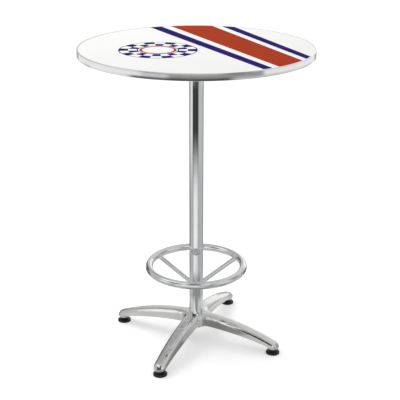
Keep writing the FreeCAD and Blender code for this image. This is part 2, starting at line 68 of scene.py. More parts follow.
# a factor's stretch from lowest to highest carried over to low and high
def spread(tree, factor, low, high, lowest=softSpan[0], highest=softSpan[1], **settings):
    return addNode(tree, "ShaderNodeMapRange",
                   {"Value": factor, "From Min": lowest, "From Max": highest,
                    "To Min": low, "To Max": high}, **settings).outputs["Result"]


def fromSrgb(*levels):
    shares = [level / 255 for level in levels]
    return [s / 12.92 if s <= 0.04045 else ((s + 0.055) / 1.055) ** 2.4 for s in shares]


def colourRamp(tree, factor, stops):
    node = addNode(tree, "ShaderNodeValToRGB", {"Fac": factor})
    elements = node.color_ramp.elements
    while len(elements) < len(stops):
        elements.new(1.0)
    for element, (place, colour) in zip(elements, stops):
        element.position = place
        element.color = (*colour, 1.0)
    return node.outputs["Color"]


def toneBetween(tree, factor, darker, lighter, span=softSpan):
    return colourRamp(tree, factor, list(zip(span, (darker, lighter))))


def plainGrey(grey):
    return (grey, grey, grey, 1.0)


# the Mix node's inputs 6 and 7 and its output 2 are the colours
def mixColours(tree, share, under, over):
    return addNode(tree, "ShaderNodeMix", {"Factor": share, 6: under, 7: over},
                   data_type="RGBA").outputs[2]


def objectPlace(tree, stretch=(1.0, 1.0, 1.0), turn=0.0):
    place = addNode(tree, "ShaderNodeTexCoord").outputs["Object"]
    return addNode(tree, "ShaderNodeMapping",
                   {"Vector": place, "Scale": stretch, "Rotation": (0.0, 0.0, turn)}).outputs["Vector"]


def noise(tree, place, scale, detail="cloud"):
    return addNode(tree, "ShaderNodeTexNoise",
                   {"Vector": place, "Scale": scale, "Detail": noiseDetail[detail]}).outputs["Fac"]


def bump(tree, height, distance):
    return addNode(tree, "ShaderNodeBump", {"Height": height, "Distance": distance}).outputs["Normal"]


def startMaterial(name, fixed):
    material = bpy.data.materials.new(name)
    material.use_nodes = True
    shader = material.node_tree.nodes["Principled BSDF"]
    for socket, number in fixed.items():
        shader.inputs[socket].default_value = number
    return material, material.node_tree, shader


def dress(nodeName, material):
    mesh = nodes[nodeName].data
    mesh.materials.clear()
    mesh.materials.append(material)


# a metal: slow clouds in its tone and gloss, fine marks and a slow waviness in its surface
def metalFinish(name, look):
    material, tree, shader = startMaterial(name, {"Metallic": 1.0})
    cloud = noise(tree, objectPlace(tree), look["cloudScale"])
    marks = noise(tree, objectPlace(tree, look["markStretch"]), look["markScale"], "fine")
    wave = noise(tree, objectPlace(tree), look["waveScale"], "plain")
    tone = toneBetween(tree, cloud, look["darker"], look["lighter"])
    gloss = calc(tree, "ADD", spread(tree, cloud, *look["rough"]),
                 spread(tree, marks, 0.0, look["markRough"]))
    marked = bump(tree, marks, look["markDepth"])
    waved = addNode(tree, "ShaderNodeBump",
                    {"Height": wave, "Distance": look["waveDepth"], "Normal": marked})
    tree.links.new(tone, shader.inputs["Base Color"])
    tree.links.new(gloss, shader.inputs["Roughness"])
    tree.links.new(waved.outputs["Normal"], shader.inputs["Normal"])
    return material


chromeLook = dict(darker=(0.83, 0.84, 0.85), lighter=(0.89, 0.90, 0.91), cloudScale=9.0,
                  rough=(0.015, 0.04), markScale=60.0, markStretch=(1.0, 1.0, 0.1), markRough=0.02,
                  markDepth=0.000004, waveScale=14.0, waveDepth=0.0003)
castingLook = dict(darker=(0.78, 0.78, 0.77), lighter=(0.86, 0.86, 0.85), cloudScale=22.0,
                   rough=(0.03, 0.06), markScale=240.0, markStretch=(1.0, 1.0, 1.0), markRough=0.03,
                   markDepth=0.000006, waveScale=26.0, waveDepth=0.0004)
bandLook = dict(darker=(0.85, 0.85, 0.86), lighter=(0.91, 0.91, 0.92), cloudScale=14.0,
                rough=(0.07, 0.12), markScale=9.0, markStretch=(1.0, 1.0, 160.0), markRough=0.06,
                markDepth=0.00002, waveScale=9.0, waveDepth=0.0004)
zincLook = dict(darker=(0.50, 0.50, 0.47), lighter=(0.64, 0.65, 0.64), cloudScale=120.0,
                rough=(0.24, 0.38), markScale=500.0, markStretch=(1.0, 1.0, 1.0), markRough=0.08,
                markDepth=0.00002, waveScale=60.0, waveDepth=0.0001)
chrome = metalFinish("chromePlate", chromeLook)
casting = metalFinish("polishedCasting", castingLook)
bandMetal = metalFinish("bandMetal", bandLook)
zinc = metalFinish("zincPlate", zincLook)

# stripes, borders and the thin ring as (middle, half width), the roundel's middle across and along them
printLook = dict(turn=50.2, white=fromSrgb(237, 237, 236), red=fromSrgb(167, 60, 33),
                 navy=fromSrgb(40, 31, 105), shades=dict(white=0.98, red=0.93, navy=0.90),
                 navyStripes=((0.0373, 0.0187), (0.2478, 0.0163)), redStripe=(0.1455, 0.0605),
                 taper=0.356, taperMiddle=0.1338,  # the stripes widen a little towards the back
                 badgeAcross=-0.130, badgeAlong=0.010, chequerRows=(0.066, 0.094, 0.122), chequers=20,
                 borders=((0.0648, 0.0018), (0.1232, 0.0018)), thinRing=(0.0545, 0.0045),
                 sheen=0.0005, rough=(0.3, 0.4), roughScale=30.0, cloudScale=6.0,
                 peelScale=700.0, peelDepth=0.00001)


# the printed laminate: two navy stripes and a red one, and a chequered roundel beside them
def printedLaminate(look):
    material, tree, shader = startMaterial("printedLaminate", {"Specular IOR Level": look["sheen"]})
    place = objectPlace(tree, turn=-math.radians(look["turn"]))
    parts = addNode(tree, "ShaderNodeSeparateXYZ", {0: place}).outputs
    across, along = parts["X"], parts["Y"]
    narrowed = calc(tree, "MULTIPLY_ADD", along, look["taper"], 1.0)
    fanned = calc(tree, "DIVIDE", calc(tree, "SUBTRACT", across, look["taperMiddle"]), narrowed)
    fanned = calc(tree, "ADD", fanned, look["taperMiddle"])
    navyShare = 0.0
    for middle, half in look["navyStripes"]:
        navyShare = calc(tree, "MAXIMUM", calc(tree, "COMPARE", fanned, middle, half), navyShare)
    redShare = calc(tree, "COMPARE", fanned, *look["redStripe"])
    sideways = calc(tree, "SUBTRACT", across, look["badgeAcross"])
    forward = calc(tree, "SUBTRACT", along, look["badgeAlong"])
    away = calc(tree, "SQRT", calc(tree, "ADD", calc(tree, "MULTIPLY", sideways, sideways),
                                   calc(tree, "MULTIPLY", forward, forward)))
    turns = calc(tree, "DIVIDE", calc(tree, "ARCTAN2", forward, sideways), fullTurn)
    inner, between, outer = look["chequerRows"]
    row = calc(tree, "GREATER_THAN", away, between)
    square = calc(tree, "FLOOR", calc(tree, "MULTIPLY", turns, look["chequers"]))
    odd = calc(tree, "FLOORED_MODULO", calc(tree, "ADD", square, row), 2.0)
    ring = calc(tree, "COMPARE", away, (inner + outer) / 2, (outer - inner) / 2)
    navyShare = calc(tree, "MAXIMUM", navyShare, calc(tree, "MULTIPLY", odd, ring))
    for border in look["borders"]:
        navyShare = calc(tree, "MAXIMUM", navyShare, calc(tree, "COMPARE", away, *border))
    redShare = calc(tree, "MAXIMUM", redShare, calc(tree, "COMPARE", away, *look["thinRing"]))
    cloud = noise(tree, objectPlace(tree), look["cloudScale"])
    white, red, navy = (toneBetween(tree, cloud, [shade * level for level in look[ink]], look[ink])
                        for ink, shade in look["shades"].items())
    tone = mixColours(tree, navyShare, mixColours(tree, redShare, white, red), navy)
    tree.links.new(tone, shader.inputs["Base Color"])
    haze = noise(tree, objectPlace(tree), look["roughScale"])
    tree.links.new(spread(tree, haze, *look["rough"]), shader.inputs["Roughness"])
    peel = noise(tree, objectPlace(tree), look["peelScale"], "plain")
    tree.links.new(bump(tree, peel, look["peelDepth"]), shader.inputs["Normal"])
    return material


blackLook = dict(sheen=0.45, dustScale=55.0, dustSpan=(0.35, 0.75))
padLook = dict(blackLook, dark=fromSrgb(20, 20, 21), dusty=fromSrgb(38, 38, 39), rough=(0.38, 0.52),
               grainScale=1500.0, grainDepth=0.00003)
coatLook = dict(blackLook, dark=fromSrgb(24, 24, 25), dusty=fromSrgb(34, 34, 35), rough=(0.42, 0.55),
                grainScale=900.0, grainDepth=0.00004)


# moulded plastic and powder coat: near black, a little dusty, with a fine grain
def grainyBlack(name, look):
    material, tree, shader = startMaterial(name, {"Specular IOR Level": look["sheen"]})
    dust = noise(tree, objectPlace(tree), look["dustScale"])
    grain = noise(tree, objectPlace(tree), look["grainScale"], "grain")
    tone = toneBetween(tree, dust, look["dark"], look["dusty"], look["dustSpan"])
    tree.links.new(tone, shader.inputs["Base Color"])
    tree.links.new(spread(tree, grain, *look["rough"]), shader.inputs["Roughness"])
    tree.links.new(bump(tree, grain, look["grainDepth"]), shader.inputs["Normal"])
    return material


boardLook = dict(dark=fromSrgb(140, 104, 66), light=fromSrgb(205, 170, 122), rough=(0.75, 0.9),
                 chipScale=260.0, chipDepth=0.0003)
backingLook = dict(dark=fromSrgb(206, 206, 204), light=fromSrgb(222, 222, 220), rough=(0.45, 0.6),
                   fibreStretch=(1.0, 14.0, 1.0), fibreScale=90.0, fibreDepth=0.00005)


def chipBoard(look):
    material, tree, shader = startMaterial("chipBoard", {})
    chips = addNode(tree, "ShaderNodeTexVoronoi",
                    {"Vector": objectPlace(tree), "Scale": look["chipScale"]})
    shade = addNode(tree, "ShaderNodeSeparateColor", {0: chips.outputs["Color"]}).outputs[0]
    tone = toneBetween(tree, shade, look["dark"], look["light"], wholeSpan)
    tree.links.new(tone, shader.inputs["Base Color"])
    tree.links.new(spread(tree, shade, *look["rough"], *wholeSpan), shader.inputs["Roughness"])
    tree.links.new(bump(tree, shade, look["chipDepth"]), shader.inputs["Normal"])
    return material


def backingSheet(look):
    material, tree, shader = startMaterial("backingSheet", {})
    fibres = noise(tree, objectPlace(tree, look["fibreStretch"]), look["fibreScale"], "fine")
    tone = toneBetween(tree, fibres, look["dark"], look["light"])
    tree.links.new(tone, shader.inputs["Base Color"])
    tree.links.new(spread(tree, fibres, *look["rough"]), shader.inputs["Roughness"])
    tree.links.new(bump(tree, fibres, look["fibreDepth"]), shader.inputs["Normal"])
    return material


laminate = printedLaminate(printLook)
padPlastic = grainyBlack("padPlastic", padLook)
powderCoat = grainyBlack("powderCoat", coatLook)
board = chipBoard(boardLook)
backing = backingSheet(backingLook)
for nodeName, material in (("top_print_sheet", laminate), ("top_core", board), ("balance_sheet", backing),
                           ("edge_band", bandMetal), ("top_bracket", powderCoat), ("bracket_screws", zinc),
                           ("column_tube", chrome), ("tie_rod", zinc), ("tie_washer", zinc),
                           ("tie_spring_washer", zinc), ("tie_nut", zinc), ("foot_ring", chrome),
                           ("base_casting", casting), ("ring_spoke_1", chrome), ("ring_spoke_2", chrome),
                           ("ring_spoke_3", chrome)):
    dress(nodeName, material)
for side in sides:
    dress("leveller_stem_" + side, zinc)
    dress("leveller_pad_" + side, padPlastic)
print("finishes:", len(bpy.data.materials))


# a Geometry Nodes tree with named inputs, and the sockets that give them
def startTree(name, inputs):
    tree = bpy.data.node_groups.new(name, "GeometryNodeTree")
    for label, kind in (("Geometry", "Geometry"), *inputs.items(), ("Finish", "Material")):
        tree.interface.new_socket(label, in_out="INPUT", socket_type="NodeSocket" + kind)
    tree.interface.new_socket("Geometry", in_out="OUTPUT", socket_type="NodeSocketGeometry")
    return tree, addNode(tree, "NodeGroupInput").outputs


def join(tree, geometries):
    joined = addNode(tree, "GeometryNodeJoinGeometry")
    for geometry in geometries:
        tree.links.new(geometry, joined.inputs[0])
    return joined.outputs[0]


def endTree(tree, given, *geometries):
    plain = addNode(tree, "GeometryNodeRealizeInstances", {"Geometry": join(tree, geometries)})
    coated = addNode(tree, "GeometryNodeSetMaterial",
                     {"Geometry": plain.outputs[0], "Material": given["Finish"]})
    addNode(tree, "NodeGroupOutput", {"Geometry": coated.outputs[0]})
    return tree


# runs a tree on closed loops of points and keeps the outcome as one plain mesh on a body
def grow(name, tree, sizes, finish, body, stands=(), loops=()):
    points = [point for loop in loops for point in loop]
    edges = []
    for loop in loops:
        first = len(edges)
        edges += [(first + index, first + (index + 1) % len(loop)) for index in range(len(loop))]
    start = bpy.data.meshes.new(name + "Start")
    start.from_pydata(points, edges, [])
    piece = bpy.data.objects.new(name, start)
    scene.collection.objects.link(piece)
    modifier = piece.modifiers.new(tree.name, "NODES")
    modifier.node_group = tree
    sockets = {item.name: item.identifier for item in tree.interface.items_tree if item.in_out == "INPUT"}
    for label, size in {**sizes, "Finish": finish}.items():
        modifier[sockets[label]] = size
    grown = bpy.data.meshes.new_from_object(piece.evaluated_get(bpy.context.evaluated_depsgraph_get()))
    piece.modifiers.clear()
    piece.data = grown
    grown.name = name
    grown.shade_smooth()
    grown.set_sharp_from_angle(angle=sharpEdge)
    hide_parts(*stands)
    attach(piece, body)
    return piece


# the place of a bar's points, as a turn and a height about the bar's middle
def barPlace(tree):
    place = addNode(tree, "GeometryNodeInputPosition").outputs[0]
    parts = addNode(tree, "ShaderNodeSeparateXYZ", {0: place}).outputs
    return calc(tree, "ARCTAN2", parts["Y"], parts["X"]), parts["Z"]


# a bar set to a radius that follows a rule of turn and height, then lifted into place
def ruledBar(tree, blank, radius, lift):
    turn, height = barPlace(tree)
    place = addNode(tree, "ShaderNodeCombineXYZ",
                    {"X": calc(tree, "MULTIPLY", calc(tree, "COSINE", turn), radius),
                     "Y": calc(tree, "MULTIPLY", calc(tree, "SINE", turn), radius),
                     "Z": calc(tree, "ADD", height, lift)})
    return addNode(tree, "GeometryNodeSetPosition",
                   {"Geometry": blank.outputs["Mesh"], "Position": place.outputs[0]}).outputs[0]


def barBlank(tree, length, around, rows):
    return addNode(tree, "GeometryNodeMeshCylinder",
                   {"Vertices": around, "Side Segments": rows, "Radius": 1.0, "Depth": length})


# how far a point lies from the nearer end of its bar
def fromEnds(tree, length):
    height = calc(tree, "ABSOLUTE", barPlace(tree)[1])
    return calc(tree, "SUBTRACT", calc(tree, "MULTIPLY", length, 0.5), height)


def plainBar(tree, radius, low, length, around=48):
    lift = calc(tree, "MULTIPLY_ADD", length, 0.5, low)
    return ruledBar(tree, barBlank(tree, length, around, 1), radius, lift)


# a right-hand thread with flat crests and roots, tapered off at both ends
def threadedBar(tree, crest, depth, pitch, low, length, around=40, rowsInTurn=10, flat=0.12):
    rows = calc(tree, "MULTIPLY", calc(tree, "DIVIDE", length, pitch), rowsInTurn)
    turn, height = barPlace(tree)
    wound = calc(tree, "SUBTRACT", calc(tree, "DIVIDE", height, pitch),
                 calc(tree, "DIVIDE", turn, fullTurn))
    slope = calc(tree, "PINGPONG", calc(tree, "MULTIPLY", wound, 2.0), 1.0)
    root = calc(tree, "SUBTRACT", crest, depth)
    ridge = calc(tree, "MULTIPLY_ADD", spread(tree, slope, *wholeSpan, flat, 1.0 - flat), depth, root)
    radius = calc(tree, "MINIMUM", ridge, calc(tree, "ADD", root, fromEnds(tree, length)))
    lift = calc(tree, "MULTIPLY_ADD", length, 0.5, low)
    return ruledBar(tree, barBlank(tree, length, around, rows), radius, lift)


# a hexagon bar with the corners turned off at both ends
def hexBar(tree, flats, low, length, around=72, rows=12, corners=6, turnedSlope=math.tan(fullTurn / 6)):
    turn = barPlace(tree)[0]
    flatTurn = fullTurn / corners
    fromFlat = calc(tree, "SUBTRACT", calc(tree, "FLOORED_MODULO", turn, flatTurn), flatTurn / 2)
    across = calc(tree, "MULTIPLY", flats, 0.5)
    flatReach = calc(tree, "DIVIDE", across, calc(tree, "COSINE", fromFlat))
    turnedReach = calc(tree, "MULTIPLY_ADD", fromEnds(tree, length), turnedSlope, across)
    radius = calc(tree, "MINIMUM", flatReach, turnedReach)
    lift = calc(tree, "MULTIPLY_ADD", length, 0.5, low)
    return ruledBar(tree, barBlank(tree, length, around, rows), radius, lift)


def aboutZ(tree, turn):
    upright = addNode(tree, "ShaderNodeCombineXYZ", {"Z": turn}).outputs[0]
    return addNode(tree, "FunctionNodeEulerToRotation", {"Euler": upright}).outputs[0]


# the edge band: a channel swept round the top, with a butt joint at the back
bandLow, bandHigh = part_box("edge_band")
bandShape = dict(wall=0.0015, lipReach=0.0045, lipDepth=0.0017, corner=0.0009, lipCorner=0.0004,
                 jointTurn=115.0, jointGap=0.0004, steps=480, cornerSteps=5)


# a closed outline from corners as (across, up, rounding)
def roundedOutline(corners, steps):
    points = []
    for index, (across, up, rounding) in enumerate(corners):
        here = Vector((across, up, 0.0))
        before = (Vector((*corners[index - 1][:2], 0.0)) - here).normalized()
        after = (Vector((*corners[(index + 1) % len(corners)][:2], 0.0)) - here).normalized()
        for share in [step / steps for step in range(steps + 1)] if rounding else [0.0]:
            points.append(here + rounding * (before * (1 - share) ** 2 + after * share ** 2))
    return points


def bandTree():
    tree, given = startTree("bandSweep", {"Radius": "Float", "Joint turn": "Float", "Joint gap": "Float",
                                          "Steps": "Int"})
    opening = calc(tree, "DIVIDE", given["Joint gap"], given["Radius"])
    start = calc(tree, "MULTIPLY_ADD", opening, 0.5, given["Joint turn"])
    path = addNode(tree, "GeometryNodeCurveArc",
                   {"Resolution": given["Steps"], "Radius": given["Radius"], "Start Angle": start,
                    "Sweep Angle": calc(tree, "SUBTRACT", fullTurn, opening)}, mode="RADIUS")
    section = addNode(tree, "GeometryNodeMeshToCurve", {"Mesh": given["Geometry"]})
    swept = addNode(tree, "GeometryNodeCurveToMesh",
                    {"Curve": path.outputs["Curve"], "Profile Curve": section.outputs["Curve"],
                     "Fill Caps": True})
    return endTree(tree, given, swept.outputs["Mesh"])


# the section's second direction runs down along the sweep, so heights are negative in it
def bandSection(shape, low, high):
    lip, wall = -shape["lipReach"], -shape["wall"]
    upper, lower = high - shape["lipDepth"], low + shape["lipDepth"]
    corners = [(0.0, -high, shape["corner"]), (0.0, -low, shape["corner"]), (lip, -low, shape["lipCorner"]),
               (lip, -lower, 0.0), (wall, -lower, 0.0), (wall, -upper, 0.0), (lip, -upper, 0.0),
               (lip, -high, shape["lipCorner"])]
    return roundedOutline(corners, shape["cornerSteps"])


bandPiece = grow("edgeBand", bandTree(),
                 {"Radius": bandHigh.x, "Joint turn": math.radians(bandShape["jointTurn"]),
                  "Joint gap": bandShape["jointGap"], "Steps": bandShape["steps"]},
                 bandMetal, "table", ["edge_band"], [bandSection(bandShape, bandLow.z, bandHigh.z)])
print("edge band:", len(bandPiece.data.polygons), "faces")

# weld beads where each spoke meets the column and the ring's tube
ringLow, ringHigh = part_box("foot_ring")
ringTube = (ringHigh.z - ringLow.z) / 2
weldShape = dict(columnRadius=0.024, ringRadius=ringHigh.x - ringTube,
                 ringHeight=(ringHigh.z + ringLow.z) / 2,
                 spokeRadius=0.008, spokeDrop=0.068, spokeTurn=51.1, spokes=3,
                 beadRadius=0.0021, beadSides=12, ripple=0.16, ripples=14, loopSteps=84, halvings=40)


def weldTree(beadSides):
    tree, given = startTree("weldBeads", {"Bead radius": "Float", "Ripple": "Float", "Ripples": "Float",
                                          "Copies": "Int", "First turn": "Float"})
    seams = addNode(tree, "GeometryNodeMeshToCurve", {"Mesh": given["Geometry"]})
    along = addNode(tree, "GeometryNodeSplineParameter").outputs["Factor"]
    rippled = calc(tree, "MULTIPLY", along, given["Ripples"])
    wave = calc(tree, "SINE", calc(tree, "MULTIPLY", rippled, fullTurn))
    section = addNode(tree, "GeometryNodeCurvePrimitiveCircle",
                      {"Resolution": beadSides, "Radius": given["Bead radius"]}, mode="RADIUS")
    bead = addNode(tree, "GeometryNodeCurveToMesh",
                   {"Curve": seams.outputs["Curve"], "Profile Curve": section.outputs["Curve"],
                    "Scale": calc(tree, "MULTIPLY_ADD", wave, given["Ripple"], 1.0)})
    order = addNode(tree, "GeometryNodeInputIndex").outputs["Index"]
    apart = calc(tree, "DIVIDE", fullTurn, given["Copies"])
    turn = calc(tree, "MULTIPLY_ADD", order, apart, given["First turn"])
    middles = addNode(tree, "GeometryNodePoints", {"Count": given["Copies"]})
    copies = addNode(tree, "GeometryNodeInstanceOnPoints",
                     {"Points": middles.outputs["Points"], "Instance": bead.outputs["Mesh"],
                      "Rotation": aboutZ(tree, turn)})
    return endTree(tree, given, copies.outputs["Instances"])


# the loop round a spoke where it first meets a surface, found by halving along the spoke
def weldLoop(shape, depthIn, nearest, farthest):
    slope = shape["spokeDrop"] / (shape["ringRadius"] - shape["columnRadius"])
    axis = Vector((1.0, 0.0, slope)).normalized()
    upward, sideways = Vector((-axis.z, 0.0, axis.x)), Vector((0.0, 1.0, 0.0))
    root = Vector((0.0, 0.0, shape["ringHeight"] - slope * shape["ringRadius"]))
    points = []
    for step in range(shape["loopSteps"]):
        angle = fullTurn * step / shape["loopSteps"]
        side = shape["spokeRadius"] * (math.cos(angle) * upward + math.sin(angle) * sideways)
        outside, inside = nearest, farthest
        for _ in range(shape["halvings"]):
            middle = (outside + inside) / 2
            if depthIn(root + middle * axis + side) > 0.0:
                inside = middle
            else:
                outside = middle
        points.append(root + outside * axis + side)
    return points


def inColumn(point):
    return weldShape["columnRadius"] - math.hypot(point.x, point.y)


def inRing(point):
    return ringTube - math.hypot(math.hypot(point.x, point.y) - weldShape["ringRadius"],
                                 point.z - weldShape["ringHeight"])


spokeMiddle = (weldShape["columnRadius"] + weldShape["ringRadius"]) / 2
spokeReach = math.hypot(weldShape["ringRadius"], weldShape["spokeDrop"])
weldLoops = [weldLoop(weldShape, inColumn, spokeMiddle, 0.0),
             weldLoop(weldShape, inRing, spokeMiddle, spokeReach)]
weldPiece = grow("spokeWelds", weldTree(weldShape["beadSides"]),
                 {"Bead radius": weldShape["beadRadius"], "Ripple": weldShape["ripple"],
                  "Ripples": weldShape["ripples"], "Copies": weldShape["spokes"],
                  "First turn": math.radians(weldShape["spokeTurn"])}, chrome, "table", loops=weldLoops)
print("spoke welds:", len(weldPiece.data.polygons), "faces")

# the leveller stems: a button in the pad, a neck, a hexagon collar and a thread up into the boss
stemShape = dict(buttonRadius=0.007, buttonHeight=0.0025, neckRadius=0.0045, collarFlats=0.014,
                 collarLow=0.00855, collarHeight=0.003, crest=0.004, depth=0.00065, pitch=0.00125)


def stemTree():
    tree, given = startTree("levellerStem", {
        "Place": "Vector", "Button radius": "Float", "Button low": "Float", "Button height": "Float",
        "Neck radius": "Float", "Collar flats": "Float", "Collar low": "Float", "Collar height": "Float",
        "Crest radius": "Float", "Thread depth": "Float", "Pitch": "Float", "Top": "Float"})
    button = plainBar(tree, given["Button radius"], given["Button low"], given["Button height"])
    neck = plainBar(tree, given["Neck radius"], given["Button low"],
                    calc(tree, "SUBTRACT", given["Collar low"], given["Button low"]))
    collar = hexBar(tree, given["Collar flats"], given["Collar low"], given["Collar height"])
    thread = threadedBar(tree, given["Crest radius"], given["Thread depth"], given["Pitch"],
                         given["Collar low"], calc(tree, "SUBTRACT", given["Top"], given["Collar low"]))
    placed = addNode(tree, "GeometryNodeTransform",
                     {"Geometry": join(tree, (button, neck, collar, thread)),
                      "Translation": given["Place"]})
    return endTree(tree, given, placed.outputs[0])


levellerStem = stemTree()
for side in sides:
    low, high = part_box("leveller_stem_" + side)
    middle = (low + high) / 2
    stemPiece = grow("levellerStem_" + side, levellerStem,
                     {"Place": (middle.x, middle.y, 0.0), "Button radius": stemShape["buttonRadius"],
                      "Button low": low.z, "Button height": stemShape["buttonHeight"],
                      "Neck radius": stemShape["neckRadius"], "Collar flats": stemShape["collarFlats"],
                      "Collar low": stemShape["collarLow"], "Collar height": stemShape["collarHeight"],
                      "Crest radius": stemShape["crest"], "Thread depth": stemShape["depth"],
                      "Pitch": stemShape["pitch"], "Top": high.z},
                     zinc, "stem_" + side, ["leveller_stem_" + side])
print("leveller stems:", len(stemPiece.data.polygons), "faces each")

# the tie rod's threaded tail and its nut, seen from below
rodLow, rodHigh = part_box("tie_rod")
nutLow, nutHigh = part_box("tie_nut")
tieShape = dict(crest=0.006, depth=0.0009, pitch=0.00175, tail=0.03, bore=0.0062)


def rodTree():
    tree, given = startTree("tieRod", {"Crest radius": "Float", "Thread depth": "Float", "Pitch": "Float",
                                       "Low": "Float", "Tail": "Float", "Length": "Float"})
    tail = threadedBar(tree, given["Crest radius"], given["Thread depth"], given["Pitch"], given["Low"],
                       given["Tail"])
    shank = plainBar(tree, given["Crest radius"], calc(tree, "ADD", given["Low"], given["Tail"]),
                     calc(tree, "SUBTRACT", given["Length"], given["Tail"]))
    return endTree(tree, given, tail, shank)


def nutTree():
    tree, given = startTree("tieNut", {"Flats": "Float", "Bore": "Float", "Low": "Float", "Height": "Float"})
    block = hexBar(tree, given["Flats"], given["Low"], given["Height"])
    overrun = calc(tree, "MULTIPLY", given["Height"], 0.5)
    drill = plainBar(tree, given["Bore"], calc(tree, "SUBTRACT", given["Low"], overrun),
                     calc(tree, "MULTIPLY", given["Height"], 2.0))
    bored = addNode(tree, "GeometryNodeMeshBoolean", operation="DIFFERENCE", solver="EXACT")
    tree.links.new(block, bored.inputs["Mesh 1"])
    tree.links.new(drill, bored.inputs["Mesh 2"])
    return endTree(tree, given, bored.outputs["Mesh"])


rodPiece = grow("tieRod", rodTree(),
                {"Crest radius": tieShape["crest"], "Thread depth": tieShape["depth"],
                 "Pitch": tieShape["pitch"], "Low": rodLow.z, "Tail": tieShape["tail"],
                 "Length": rodHigh.z - rodLow.z},
                zinc, "table", ["tie_rod"])
nutPiece = grow("tieNut", nutTree(),
                {"Flats": nutHigh.y - nutLow.y, "Bore": tieShape["bore"], "Low": nutLow.z,
                 "Height": nutHigh.z - nutLow.z}, zinc, "table", ["tie_nut"])

# four pan-head screws with a cross recess, up through the bracket into the board
screwLow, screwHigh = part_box("bracket_screws")
screwShape = dict(headRadius=0.005, headHeight=0.0032, headRound=0.5, shankRadius=0.0025, pointShare=0.5,
                  slotLength=0.0052, slotWidth=0.0011, slotDepth=0.0017, screws=4,
                  headAround=48, headRows=10, shankAround=32, shankRows=24)


def screwTree(shape):
    tree, given = startTree("panScrews", {
        "Copies": "Int", "Reach": "Float", "Low": "Float", "High": "Float", "Head radius": "Float",
        "Head height": "Float", "Head round": "Float", "Shank radius": "Float", "Point share": "Float",
        "Slot length": "Float", "Slot width": "Float", "Slot depth": "Float"})
    headTop = calc(tree, "ADD", given["Low"], given["Head height"])
    downward = calc(tree, "SUBTRACT", 0.5, calc(tree, "DIVIDE", barPlace(tree)[1], given["Head height"]))
    bulge = calc(tree, "MULTIPLY", calc(tree, "MULTIPLY", downward, downward), given["Head round"])
    narrowing = calc(tree, "SQRT", calc(tree, "SUBTRACT", 1.0, bulge))
    radius = calc(tree, "MULTIPLY", narrowing, given["Head radius"])
    lift = calc(tree, "MULTIPLY_ADD", given["Head height"], 0.5, given["Low"])
    blank = barBlank(tree, given["Head height"], shape["headAround"], shape["headRows"])
    head = ruledBar(tree, blank, radius, lift)
    deep = calc(tree, "MULTIPLY", given["Slot depth"], 2.0)
    recessed = addNode(tree, "GeometryNodeMeshBoolean", operation="DIFFERENCE", solver="EXACT")
    tree.links.new(head, recessed.inputs["Mesh 1"])
    for first, second in (("Slot length", "Slot width"), ("Slot width", "Slot length")):
        size = addNode(tree, "ShaderNodeCombineXYZ", {"X": given[first], "Y": given[second], "Z": deep})
        slot = addNode(tree, "GeometryNodeMeshCube", {"Size": size.outputs[0]})
        lowered = addNode(tree, "ShaderNodeCombineXYZ", {"Z": given["Low"]})
        placed = addNode(tree, "GeometryNodeTransform",
                         {"Geometry": slot.outputs["Mesh"], "Translation": lowered.outputs[0]})
        tree.links.new(placed.outputs[0], recessed.inputs["Mesh 2"])
    length = calc(tree, "SUBTRACT", given["High"], headTop)
    toPoint = calc(tree, "SUBTRACT", calc(tree, "MULTIPLY", length, 0.5), barPlace(tree)[1])
    tapered = calc(tree, "MULTIPLY", toPoint, given["Point share"])
    shank = ruledBar(tree, barBlank(tree, length, shape["shankAround"], shape["shankRows"]),
                     calc(tree, "MINIMUM", tapered, given["Shank radius"]),
                     calc(tree, "MULTIPLY_ADD", length, 0.5, headTop))
    places = addNode(tree, "GeometryNodeMeshCircle", {"Vertices": given["Copies"], "Radius": given["Reach"]})
    order = addNode(tree, "GeometryNodeInputIndex").outputs["Index"]
    copies = addNode(tree, "GeometryNodeInstanceOnPoints",
                     {"Points": places.outputs["Mesh"],
                      "Instance": join(tree, (recessed.outputs["Mesh"], shank)),
                      "Rotation": aboutZ(tree, order)})
    return endTree(tree, given, copies.outputs["Instances"])


screwPiece = grow("bracketScrews", screwTree(screwShape),
                  {"Copies": screwShape["screws"], "Reach": screwHigh.x - screwShape["headRadius"],
                   "Low": screwLow.z, "High": screwHigh.z, "Head radius": screwShape["headRadius"],
                   "Head height": screwShape["headHeight"], "Head round": screwShape["headRound"],
                   "Shank radius": screwShape["shankRadius"], "Point share": screwShape["pointShare"],
                   "Slot length": screwShape["slotLength"], "Slot width": screwShape["slotWidth"],
                   "Slot depth": screwShape["slotDepth"]}, zinc, "table", ["bracket_screws"])
for piece in (rodPiece, nutPiece, screwPiece):
    print(piece.name + ":", len(piece.data.polygons), "faces")


# the camera of the photograph
cameraShot = dict(place=(1.2337, -2.7456, 1.6485), tilt=20.58, heading=23.96, roll=0.17, lens=85.5,
                  sensor=36.0, farthest=200.0)
camera = bpy.data.objects.new("camera", bpy.data.cameras.new("camera"))
scene.collection.objects.link(camera)
aim = Euler((math.radians(90 - cameraShot["tilt"]), 0.0, math.radians(cameraShot["heading"]))).to_matrix()
aim = aim @ Matrix.Rotation(math.radians(cameraShot["roll"]), 3, "Z")
camera.matrix_world = Matrix.Translation(cameraShot["place"]) @ aim.to_4x4()
camera.data.sensor_width = cameraShot["sensor"]
camera.data.lens = cameraShot["lens"]
camera.data.clip_end = cameraShot["farthest"]
scene.camera = camera

stageLook = dict(floorHalf=40.0, floorTone=(0.88, 0.88, 0.88), cameraGlow=0.26, skyLight=0.88,
                 keyPlace=(-1.8, 0.6, 3.0), keyAim=(0.0, 0.0, 0.5), keySize=2.2, keyPower=30.0)
